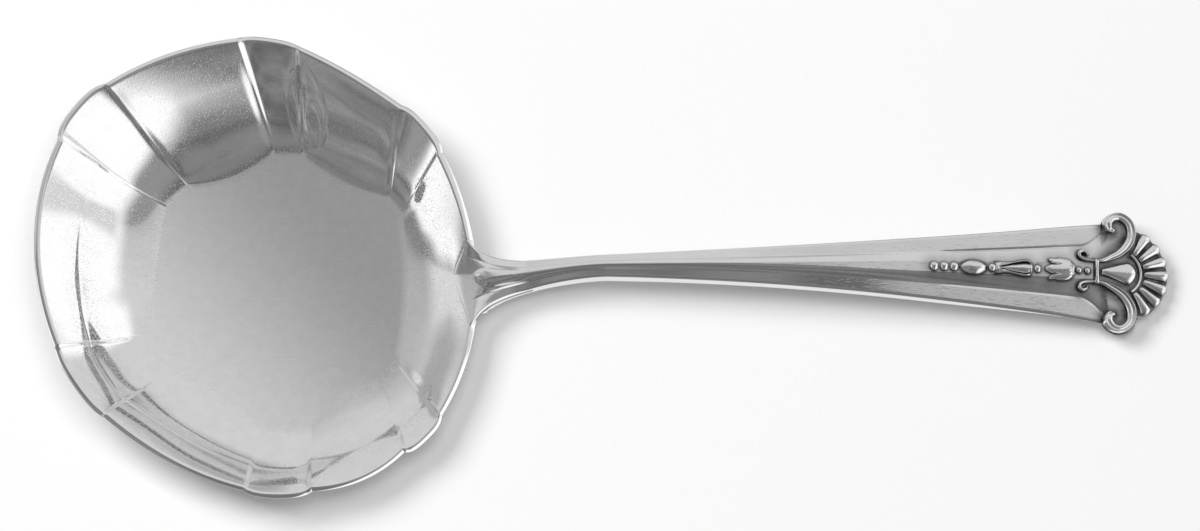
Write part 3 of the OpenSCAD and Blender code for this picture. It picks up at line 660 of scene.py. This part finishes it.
def closed_strip(name, rows, matrix, high, mirror=False, clear_foot=0.0):
    """A closed ribbon of cross rows, each already with its two feet; the last argument says where its foot stands
    clear, so that polish has reached it and it gets no painted shade.
    """
    n = len(rows[0])
    local = np.vstack(rows)
    points = place(local * (1, -1, 1) if mirror else local, matrix)
    first, last = list(range(n)), list(range((len(rows) - 1) * n, len(rows) * n))
    faces = grid_faces(len(rows), n, True, 0, not mirror)
    faces += [first[::-1], last] if mirror else [first, last[::-1]]
    OUTLINES.append(np.vstack([points[0::n], points[n - 1::n], points[first], points[last]]))
    return make_mesh(name, points, faces, {"patina_and_shade": recess_patina_and_shade(local[:, 2] / high, 0.2, 0.75) * (1 - clear_foot)})


def relief(name, rows, matrix, low, high):
    """A sheet of rows raised from its seat, with a wall all round it."""
    wall = [np.column_stack([row[:, :2], np.full(len(row), -SKIRT)]) for row in (rows[0], rows[-1])]
    rows = [skirted(row) for row in [wall[0]] + rows + [wall[1]]]
    n = len(rows[0])
    local = np.vstack(rows)
    points = place(local, matrix)
    rim = list(range(n)) + [r * n + n - 1 for r in range(1, len(rows))]
    rim += [(len(rows) - 1) * n + c for c in range(n - 2, -1, -1)] + [r * n for r in range(len(rows) - 2, 0, -1)]
    OUTLINES.append(points[rim])
    faces = grid_faces(len(rows), n, False, 0, True) + [rim]
    return make_mesh(name, points, faces, {"patina_and_shade": recess_patina_and_shade(local[:, 2] / RELIEF_H, low, high)})


def build_beads(name, spots):
    """Balls a little sunk into their seats; each spot is a diameter and a seat."""
    rows, cols = 13, 32
    turns = 2 * np.pi * np.arange(cols) / cols
    ring = 2 * np.pi * np.arange(24) / 24
    points, faces, patina_and_shade = [], [], []
    for d, matrix in spots:
        start, r, mid = len(points), d / 2, d / 8
        low = math.asin(-0.25 - 2 * BEAD_SKIRT / d)
        local = [[0, 0, mid + r]]
        for a in np.linspace(math.pi / 2, low, rows + 1)[1:]:
            flat_r, z = r * math.cos(a), mid + r * math.sin(a)
            local += [[flat_r * math.cos(b), flat_r * math.sin(b), z] for b in turns]
        points += place(local, matrix).tolist()
        patina_and_shade += recess_patina_and_shade(np.array(local)[:, 2] / d, 0.1, 0.42).tolist()
        OUTLINES.append(place(np.column_stack([r * np.cos(ring), r * np.sin(ring), 0 * ring]), matrix))
        faces += grid_faces(rows, cols, True, start + 1, True)
        faces += fan_faces(start + 1, cols, start)
        base = start + 1 + (rows - 1) * cols
        faces.append(list(range(base, base + cols))[::-1])
    return make_mesh(name, points, faces, {"patina_and_shade": patina_and_shade})


def build_oval():
    """A spindle turned on an arc, sunk so that its crest is at the height of the relief."""
    sag = OVAL_W / 2 - OVAL_W / 6
    arc_r = ((OVAL_L / 2) ** 2 + sag ** 2) / (2 * sag)
    mid, steps = RELIEF_H - OVAL_W / 2, 25
    rows = []
    for u in np.linspace(-OVAL_L / 2, OVAL_L / 2, 49):
        r = max(0.02, OVAL_W / 2 - arc_r + math.sqrt(arc_r ** 2 - u * u))
        foot = math.asin(max(-1, min(1, (-BEAD_SKIRT - mid) / r)))
        a = np.linspace(foot, math.pi - foot, steps)
        rows.append(np.column_stack([np.full(steps, u), -r * np.cos(a), mid + r * np.sin(a)]))
    return closed_strip("oval_bead_form", rows[::-1], on_panel(OVAL_X), 0.7 * RELIEF_H)


# Share of the length, of the half width and of the height
HUSK_POINTS = [(0, .72, .75), (.1, .7, .85), (.28, .62, .9), (.5, .74, .95), (.75, .98, 1), (.88, .94, .95),
               (.96, .66, .7), (1, .3, .4)]


def build_husk():
    """A rounded border round a hollow, with a dome that widens in it."""
    path = curve([(p[0] * HUSK_L, 0, p[1] * HUSK_W / 2, p[2] * RELIEF_H) for p in HUSK_POINTS], 9)
    t = np.linspace(1, -1, 61)
    rows = []
    for p in path:
        along = p[0] / HUSK_L
        inside = smooth((along - 0.04) / 0.16) * smooth((0.97 - along) / 0.07)
        core = 0.6 * smooth((along - 0.02) / 0.5) + 0.06
        border = half_round(clamp01((abs(t) - 0.8) / 0.2)) * smooth((abs(t) - core) / 0.2)
        dome = 0.85 * half_round(np.minimum(1, t / core))
        form = lerp(half_round(t), np.maximum(np.maximum(border, dome), 0.12 * (abs(t) < 0.95)), inside)
        y = t * p[2]
        round_bead = np.sqrt(np.maximum(0, (MID_D / 2 + RELIEF_GAP) ** 2 - y ** 2)) - HUSK_LEAD
        rows.append(skirted(np.column_stack([np.maximum(p[0], round_bead), y, p[3] * form])))
    return closed_strip("husk_form", rows, on_panel(HUSK_X), RELIEF_H)


def build_flower():
    """Three pointed petals on a round foot, open to the bowl."""
    s = np.linspace(-1, 1, 81)
    w = abs(s)
    reach = 1 - 0.2 * smooth((w - 0.04) / 0.38) + 0.08 * smooth((w - 0.42) / 0.3) - 0.3 * smooth((w - 0.74) / 0.26)
    rows = []
    for t in np.linspace(0, 1, 46):
        d = t * reach * FLOWER_L
        half = 0.45 + 0.85 * (1 - np.exp(-d / 0.5)) + 0.2 * smooth((d - 2.2) / 0.7)
        furrow = 0.75 * np.exp(-((w - 0.42) / 0.07) ** 2) * smooth((t - 0.5) / 0.4)
        foot = 0.25 * (1 - np.cos(s * 17)) / 2 * (1 - smooth((t - 0.08) / 0.16))
        ends = math.sqrt(max(0, 1 - abs(2 * t - 1) ** 8))
        z = RELIEF_H * lerp(0.25, 1, ends) * (0.2 + 0.8 * half_round(s * 0.98)) * (1 - furrow) * (1 - foot)
        rows.append(np.column_stack([-d, -s * half, z]))
    return relief("bellflower_form", rows, on_panel(FOLD_X), 0.12, 0.6)


def build_fan(name, ribs, opening, centre, foot_r, end_r, tip, least, ridge, dark, bright):
    """Ribs rounded across, from foot_r to end_r; ridge is the share of its pitch that a rib fills."""
    steps, row_count = 28, 34
    n = ribs * steps + 1
    i = np.arange(n)
    a = np.radians(lerp(-opening, opening, i / (n - 1)))
    rib = abs(2 * ((i % steps) / steps) - 1)
    wave = half_round(np.minimum(1, rib / ridge))
    reach = 1 - tip * rib ** 1.5
    rows = []
    for t in (1 - np.cos(np.linspace(0, np.pi, row_count))) / 2:
        r = lerp(foot_r, end_r * reach, t)
        rise = math.sqrt(max(0, 1 - abs(2 * t - 1) ** 4))
        z = RELIEF_H * np.maximum(least, wave * lerp(least, 1, rise))
        rows.append(np.column_stack([centre + r * np.cos(a), r * np.sin(a), z]))
    return relief(name, rows, ON_END, dark, bright)


# Scroll: place along and across, half width and height; the arm's places along are shares of its run past the collar
CURL = [(1.43, 1.80, .10, .30), (1.23, 2.09, .15, .38), (.82, 2.22, .20, .42), (.48, 1.99, .22, .42),
        (.58, 1.58, .22, .40), (1.02, 1.32, .20, .36), (1.60, 1.22, .18, .33)]
ARM = [(0, 1.2, .18, .33), (.192, 1.34, .26, .42), (.505, 1.80, .40, .52), (.774, 2.60, .50, .60),
       (.947, 3.63, .55, .64), (1, 4.72, .55, .66), (.923, 5.82, .50, .64), (.697, 6.50, .46, .62),
       (.457, 6.40, .50, .66), (.298, 5.68, .58, .74), (.346, 4.92, .48, .66), (.5, 4.80, .20, .40)]
BAND_SLIM = 0.12


def build_scroll(name, mirror):
    path = curve(CURL + [(COLLAR_U + p[0] * SCROLL_RUN, *p[1:]) for p in ARM], 10)
    d = unit(np.gradient(path[:, :2], axis=0))
    inward = np.column_stack([-d[:, 1], d[:, 0]])
    t = np.linspace(1, -1, 41)
    # A fine raised line follows the outer edge of the broad part
    body = 0.9 * half_round((t - 0.17) / 0.83)
    edge = half_round((t + 0.8) / 0.2)
    lined = np.maximum(np.maximum(body * (t > -0.66), edge), 0.3 * (abs(t) < 0.98))
    rows = []
    for p, a in zip(path, inward):
        broad = smooth((p[2] - 0.25) / 0.15)
        xy = p[:2] + a * BAND_SLIM * broad + t[:, None] * p[2] * a
        rows.append(skirted(np.column_stack([xy, p[3] * lerp(half_round(t), lined, broad)])))
    # The volute's outer side stands clear of the handle, so polish reaches its foot and it gets no painted shade; it is
    # bright
    outer = np.concatenate([[0], smooth((-t - 0.3) / 0.3), [1]])
    clear_foot = np.concatenate([smooth((p[1] - 3.4) / 1.2) * outer for p in path])
    return closed_strip(name, rows, ON_END, 0.6, mirror, clear_foot)


ARCH_U, ARCH_R, ARCH_HALF_W, ARCH_OPEN, ARCH_H = 5.1, 2.55, 0.2, 56, 0.75 * RELIEF_H


def build_arch():
    t = np.linspace(1, -1, 17)
    r = ARCH_R - ARCH_HALF_W * t
    rows = []
    for a in np.radians(np.linspace(-ARCH_OPEN, ARCH_OPEN, 61)):
        rows.append(skirted(np.column_stack([ARCH_U + r * math.cos(a), r * math.sin(a), ARCH_H * half_round(t)])))
    return closed_strip("boss_arch_form", rows, ON_END, ARCH_H)


COLLAR_HALF, COLLAR_H, COLLAR_W, COLLAR_FLARE = 1.45, 0.68, 0.22, 0.12


def build_collar():
    v = np.linspace(-COLLAR_HALF, COLLAR_HALF, 61)
    w = abs(v) / COLLAR_HALF
    rows = []
    for k in np.linspace(-1, 1, 17):
        z = COLLAR_H * lerp(0.3, 1, half_round(k)) * np.sqrt(np.maximum(0.1, 1 - w ** 6))
        rows.append(skirted(np.column_stack([COLLAR_U + k * (COLLAR_W + COLLAR_FLARE * w ** 2), v, z])))
    return closed_strip("collar_form", rows[::-1], ON_END, COLLAR_H)


bead_spots = [(BEAD_D, on_panel(FIRST_X + k * BEAD_PITCH)) for k in range(3)]
bead_spots += [(MID_D, on_panel(MID_X)), (LATE_D, on_panel(LATE_X))]
bead_spots += [(SMALL_D, ON_END @ Matrix.Translation((u, 0, 0))) for u in SMALL_US]
ORNAMENTS = [
    (build_beads("bead_row", bead_spots), "round_beads"),
    (build_oval(), "oval_bead"),
    (build_husk(), "husk_drop"),
    (build_flower(), "bellflower"),
    (build_scroll("left_scroll_form", False), "left_scroll"),
    (build_scroll("right_scroll_form", True), "right_scroll"),
    (build_collar(), "scroll_collar"),
    (build_fan("boss_form", ribs=1, opening=17, centre=1.97, foot_r=1.13, end_r=5.18, tip=0.12, least=0.2, ridge=1.0,
               dark=0.2, bright=0.6), "boss"),
    (build_arch(), "boss_arch"),
    (build_fan("palmette_form", ribs=7, opening=PALMETTE_OPEN, centre=PALMETTE_U, foot_r=2.55, end_r=PALMETTE_R,
               tip=0.06, least=0.12, ridge=0.82, dark=0.2, bright=0.85), "palmette")]
handle = build_handle()
bowl = build_bowl()
PIECES = [(bowl, "bowl", "bowl_silver"), (handle, "handle", "handle_silver")]
PIECES += [(piece, node, "ornament_silver") for piece, node in ORNAMENTS]


# Materials: polished silver with fine wear, dark with patina where polish never reaches and with painted shade in the
# recesses
def add_node(tree, kind, sockets=None, **settings):
    """A shader node; each socket takes a value, or the output that feeds it."""
    made = tree.nodes.new("ShaderNode" + kind)
    for key, value in settings.items():
        setattr(made, key, value)
    for key, value in (sockets or {}).items():
        if isinstance(value, bpy.types.NodeSocket):
            tree.links.new(value, made.inputs[key])
        else:
            made.inputs[key].default_value = value
    return made


def map_range(tree, value, start=0.0, end=1.0, low=0.0, high=1.0, kind="LINEAR"):
    sockets = {"Value": value, "From Min": start, "From Max": end, "To Min": low, "To Max": high}
    return add_node(tree, "MapRange", sockets, interpolation_type=kind).outputs["Result"]


def grey(level):
    return (level, level, level, 1)


# Grey of the patina and painted shade in the recesses
PATINA_SHADE_GREY, PIT_DEPTH = 0.06, 0.02 * MM


def silver(name, tone, rough, pits_plain, pits_wall, stretch):
    """Silver of a tone and mean roughness, with pits of two strengths and clouds stretched along the handle."""
    mat = bpy.data.materials.new(name)
    mat.use_nodes = True
    tree = mat.node_tree

    def noise(vector, scale, detail):
        return add_node(tree, "TexNoise", {"Vector": vector, "Scale": scale, "Detail": detail}).outputs["Fac"]

    def mix(share, a, b):
        return add_node(tree, "Mix", data_type="RGBA", sockets={0: share, 6: a, 7: b}).outputs[2]

    coords = add_node(tree, "TexCoord").outputs["Object"]
    drawn = add_node(tree, "Mapping", {"Vector": coords, "Scale": (stretch, 1, 1)}).outputs["Vector"]
    clouds = noise(drawn, 900, 5)
    ramp = add_node(tree, "ValToRGB", {"Fac": clouds})
    for stop, position, level in zip(ramp.color_ramp.elements, (0.3, 0.65), (tone * 0.95, tone)):
        stop.position = position
        stop.color = grey(level)
    # Fine slanting scratches
    slant = add_node(tree, "Mapping", {"Vector": coords, "Rotation": (0, 0, 0.6), "Scale": (0.04, 1, 1)})
    scratches = map_range(tree, noise(slant.outputs["Vector"], 7000, 2), 0.62, 0.74, 0.0, 0.6)
    clear_foot = mix(scratches, ramp.outputs["Color"], grey(1))
    # Patina and painted shade where the mesh says so, a little patchy
    patina_and_shade = add_node(tree, "Attribute", attribute_name="patina_and_shade").outputs["Fac"]
    patchy = map_range(tree, clouds, 0.3, 0.6, 0.75, 1.0)
    dark = add_node(tree, "Math", {0: patina_and_shade, 1: patchy}, operation="MULTIPLY").outputs[0]
    # Small pits, stronger where the mesh says so
    grain = add_node(tree, "Attribute", attribute_name="grain").outputs["Fac"]
    pits = map_range(tree, noise(drawn, 6000, 3), 0.55, 0.7, kind="SMOOTHSTEP")
    strength = map_range(tree, grain, low=pits_plain, high=pits_wall)
    dents = add_node(tree, "Bump", {"Strength": strength, "Distance": PIT_DEPTH, "Height": pits})
    shader = tree.nodes["Principled BSDF"]
    shader.inputs["Metallic"].default_value = 1.0
    tree.links.new(mix(dark, clear_foot, grey(PATINA_SHADE_GREY)), shader.inputs["Base Color"])
    tree.links.new(map_range(tree, clouds, low=rough * 0.6, high=rough * 1.4), shader.inputs["Roughness"])
    tree.links.new(dents.outputs["Normal"], shader.inputs["Normal"])
    return mat


MATERIALS = {"bowl_silver": silver("bowl_silver", 0.92, 0.05, 0.03, 0.2, 1.0),
             "handle_silver": silver("handle_silver", 0.9, 0.07, 0.1, 0.1, 0.2),
             "ornament_silver": silver("ornament_silver", 0.9, 0.08, 0.15, 0.15, 1.0)}
for piece, node, slot in PIECES:
    piece.data.materials.append(MATERIALS[slot])
    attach(piece, "root")
    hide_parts(node)

# Table: a hair below the base of the bowl
bpy.ops.mesh.primitive_plane_add(size=4, location=(0, 0, -0.02 * MM))
table = bpy.context.object
table.name = "table"
table.visible_glossy = False
table_white = bpy.data.materials.new("table_white")
table_white.use_nodes = True
for socket, value in (("Base Color", grey(0.95)), ("Roughness", 0.9), ("Specular IOR Level", 0.0)):
    table_white.node_tree.nodes["Principled BSDF"].inputs[socket].default_value = value
table.data.materials.append(table_white)

world = bpy.data.worlds.new("studio")
bpy.context.scene.world = world
world.use_nodes = True
sky = world.node_tree
sky.nodes.clear()


def math_node(operation, a, b):
    return add_node(sky, "Math", {0: a, 1: b}, operation=operation).outputs[0]


def add(a, b):
    return math_node("ADD", a, b)


def times(a, b):
    return math_node("MULTIPLY", a, b)


def at_least(a, b):
    return math_node("MAXIMUM", a, b)


def at_most(a, b):
    return math_node("MINIMUM", a, b)


def blend(share, a, b):
    return add_node(sky, "Mix", {0: share, 2: a, 3: b}, data_type="FLOAT").outputs[0]


def step_up(value, low, high):
    return map_range(sky, value, low, high, kind="SMOOTHSTEP")


def fall(value, low, high):
    return step_up(times(value, -1), -high, -low)


def band(value, rise, drop):
    """1 between a rise and a drop, each a pair of limits."""
    return times(step_up(value, *rise), fall(value, *drop))


# Studio round the spoon, drawn over P to the right and Q away from the camera, both 0 overhead
split = add_node(sky, "SeparateXYZ", {0: add_node(sky, "TexCoord").outputs["Generated"]})
height = at_least(add(split.outputs[2], 1), 0.03)
P = math_node("DIVIDE", split.outputs[0], height)
Q = math_node("DIVIDE", split.outputs[1], height)
LEFT = times(P, -1)

# Ceiling: a soft rise of grey away from the camera and to the right, with a glow on the left
across = at_most(at_least(P, -0.08), 0.07)
level = blend(step_up(add(Q, times(across, 1.2)), 0.05, 0.24), 0.33, 0.68)
far_left = times(step_up(LEFT, 0.06, 0.14), step_up(Q, 0.07, 0.15))
level = blend(far_left, level, blend(step_up(Q, 0.15, 0.45), 0.48, 0.66))
glow = times(step_up(LEFT, 0.4, 0.6), band(Q, (0.07, 0.12), (0.22, 0.3)))
level = blend(glow, level, 0.76)
far_grey = times(step_up(Q, 0.7, 0.95), band(P, (-0.05, 0.05), (0.6, 1.0)))
level = blend(far_grey, level, 0.4)

# Camera side: dark and a little smoky, lighter to both sides
flat = add_node(sky, "CombineXYZ", {0: P, 1: Q})
smoke = add_node(sky, "TexNoise", {"Vector": flat.outputs[0], "Scale": 5.0, "Detail": 3.0})
smoky = step_up(smoke.outputs["Fac"], 0.3, 0.7)
shade = blend(step_up(LEFT, 0.02, 0.14), blend(smoky, 0.12, 0.25), blend(smoky, 0.15, 0.34))
shade = blend(times(step_up(P, 0.06, 0.2), step_up(Q, -0.35, -0.15)), shade, 0.3)
shade = blend(times(step_up(LEFT, 0.28, 0.45), step_up(Q, -0.15, -0.05)), shade, 0.38)
shade = blend(times(step_up(LEFT, 0.5, 0.65), step_up(Q, -0.6, -0.42)), shade, 0.44)
near = add(Q, times(at_least(add(LEFT, -0.05), 0), -0.1))
level = blend(fall(near, 0.045, 0.065), level, shade)

# White screen to the right, with a grey tongue across it and grey past its end
edge = math_node("SUBTRACT", P, times(at_least(add(Q, -0.25), 0), 0.9))
edge = add(edge, times(at_most(at_least(times(Q, -1), 0), 0.36), 0.5))
level = blend(step_up(edge, 0.42, 0.6), level, 1.12)
tongue = times(band(Q, (-0.02, 0.02), (0.08, 0.12)), band(P, (0.5, 0.62), (0.98, 1.1)))
level = blend(tongue, level, 0.7)
level = blend(step_up(P, 1.45, 1.8), level, 0.36)

# White screen on the left, with grey beyond it, a dark strip beside it and a dark gap at its end
beyond = times(step_up(LEFT, 0.48, 0.6), band(Q, (0.24, 0.34), (0.5, 0.6)))
level = blend(beyond, level, 0.42)
strip = times(band(LEFT, (0.1, 0.2), (0.5, 0.64)), band(Q, (-0.08, -0.02), (0.07, 0.13)))
level = blend(strip, level, 0.24)
screen = times(step_up(LEFT, 0.58, 0.74), band(Q, (-0.4, -0.28), (0.06, 0.13)))
level = blend(screen, level, 1.1)
gap = times(step_up(LEFT, 0.94, 1.0), band(Q, (0.18, 0.22), (0.34, 0.4)))
level = blend(gap, level, 0.19)

# The table fills the lowest part; what is not a reflection gets an even grey, and the camera sees white
AMBIENT = 0.27
level = blend(fall(Q, -3.0, -2.0), level, 0.85)
path = add_node(sky, "LightPath")
level = blend(path.outputs["Is Glossy Ray"], AMBIENT, level)
level = blend(path.outputs["Is Camera Ray"], level, 1.0)
add_node(sky, "OutputWorld", {"Surface": add_node(sky, "Background", {"Color": level}).outputs[0]})

# Lamps: energy, size and place, aimed at the middle of the spoon
SPOON_X = 0.037
LAMPS = {"key": (9.4, 0.6, (-0.65, 0.33, 1.0)), "fill": (5.4, 0.6, (0.12, -0.05, 1.3))}
for name, (energy, size, spot) in LAMPS.items():
    lamp_data = bpy.data.lights.new(name, "AREA")
    lamp_data.energy = energy
    lamp_data.size = size
    lamp = bpy.data.objects.new(name, lamp_data)
    bpy.context.scene.collection.objects.link(lamp)
    lamp.location = spot
    lamp.rotation_euler = (Vector((SPOON_X, 0, 0)) - lamp.location).to_track_quat("-Z", "Y").to_euler()
    lamp.visible_glossy = False

# Camera: fitted to the outline in the photo; the focal length and the shift of the aim are in its pixels
CAM_ELEVATION, CAM_ROLL, CAM_DISTANCE = math.radians(74), math.radians(0.333), 1.0
FOCAL_PX, SHIFT_RIGHT_PX, SHIFT_UP_PX, PHOTO_W_PX = 8906.0, 9.88, 2.4, 1200
SENSOR_W, AIM_Z = 36, 0.006
back_way = Vector((0, -math.cos(CAM_ELEVATION), math.sin(CAM_ELEVATION)))
side = Vector((1, 0, 0))
up = side.cross(-back_way)
turned_side = side * math.cos(CAM_ROLL) + up * math.sin(CAM_ROLL)
turned_up = up * math.cos(CAM_ROLL) - side * math.sin(CAM_ROLL)
shift = turned_side * (SHIFT_RIGHT_PX / FOCAL_PX) + turned_up * (SHIFT_UP_PX / FOCAL_PX)
aim = Vector((SPOON_X, 0, AIM_Z)) - shift * CAM_DISTANCE
cam_data = bpy.data.cameras.new("photo_camera")
cam_data.sensor_width = SENSOR_W
cam_data.lens = FOCAL_PX / PHOTO_W_PX * SENSOR_W
cam_data.clip_end = 50
camera = bpy.data.objects.new("photo_camera", cam_data)
bpy.context.scene.collection.objects.link(camera)
rotation = Matrix((turned_side, turned_up, back_way)).transposed().to_4x4()
camera.matrix_world = Matrix.Translation(aim + back_way * CAM_DISTANCE) @ rotation
bpy.context.scene.camera = camera

bpy.context.scene.view_settings.view_transform = "Standard"
